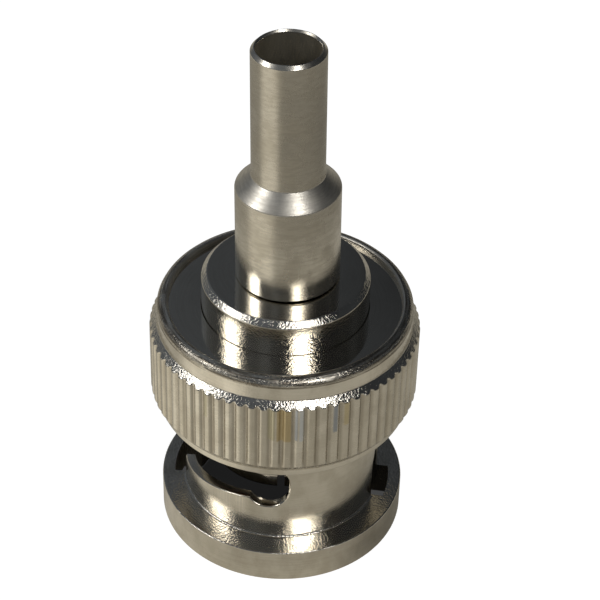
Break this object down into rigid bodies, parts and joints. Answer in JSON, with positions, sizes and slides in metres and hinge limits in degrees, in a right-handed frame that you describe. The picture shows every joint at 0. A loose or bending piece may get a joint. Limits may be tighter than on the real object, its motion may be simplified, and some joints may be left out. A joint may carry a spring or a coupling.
{
  "type": "bnc plug",
  "caption": "Crimp bayonet coaxial plug: knurled coupling nut with two bayonet slots that spins and springs on a plug body with a slotted outer contact, centre pin and stepped crimp ferrule.",
  "frame": {"origin": "on the axis, in the plane of the coupling nut's mating face, on which the plug stands", "axes": "+Z along the plug's axis towards the cable end; -Y is the side where a detent pocket shows"},
  "size_m": [0.0144, 0.0144, 0.0298],
  "materials": {
    "nickel": "bright nickel plate on turned brass",
    "spring_steel": "rolled spring strip",
    "contact_gold": "gold plate",
    "fluoropolymer": "turned white fluoropolymer",
    "silicone": "moulded red silicone"
  },
  "bodies": {
    "coupling_nut": {"coupling_nut": "nickel", "rear_washer": "nickel", "front_wave_washer": "spring_steel", "rear_wave_washer": "spring_steel"},
    "thrust_washer": {"thrust_washer": "spring_steel"},
    "plug_body": {"plug_body": "nickel", "outer_contact": "nickel", "gasket": "silicone", "front_insulator": "fluoropolymer", "rear_insulator": "fluoropolymer", "centre_pin": "contact_gold", "crimp_ferrule": "nickel"}
  },
  "joints": [
    {"name": "coupling_slide", "type": "slide", "parent": "coupling_nut", "child": "thrust_washer", "axis": [0, 0, 1], "range_m": [0, 0.0011], "stiffness_N_per_m": 4000, "springref_m": -0.0005, "deforming": ["front_wave_washer", "rear_wave_washer"]},
    {"name": "coupling_spin", "type": "hinge", "parent": "thrust_washer", "child": "plug_body", "pos_m": [0, 0, 0], "axis": [0, 0, 1], "continuous": true}
  ]
}
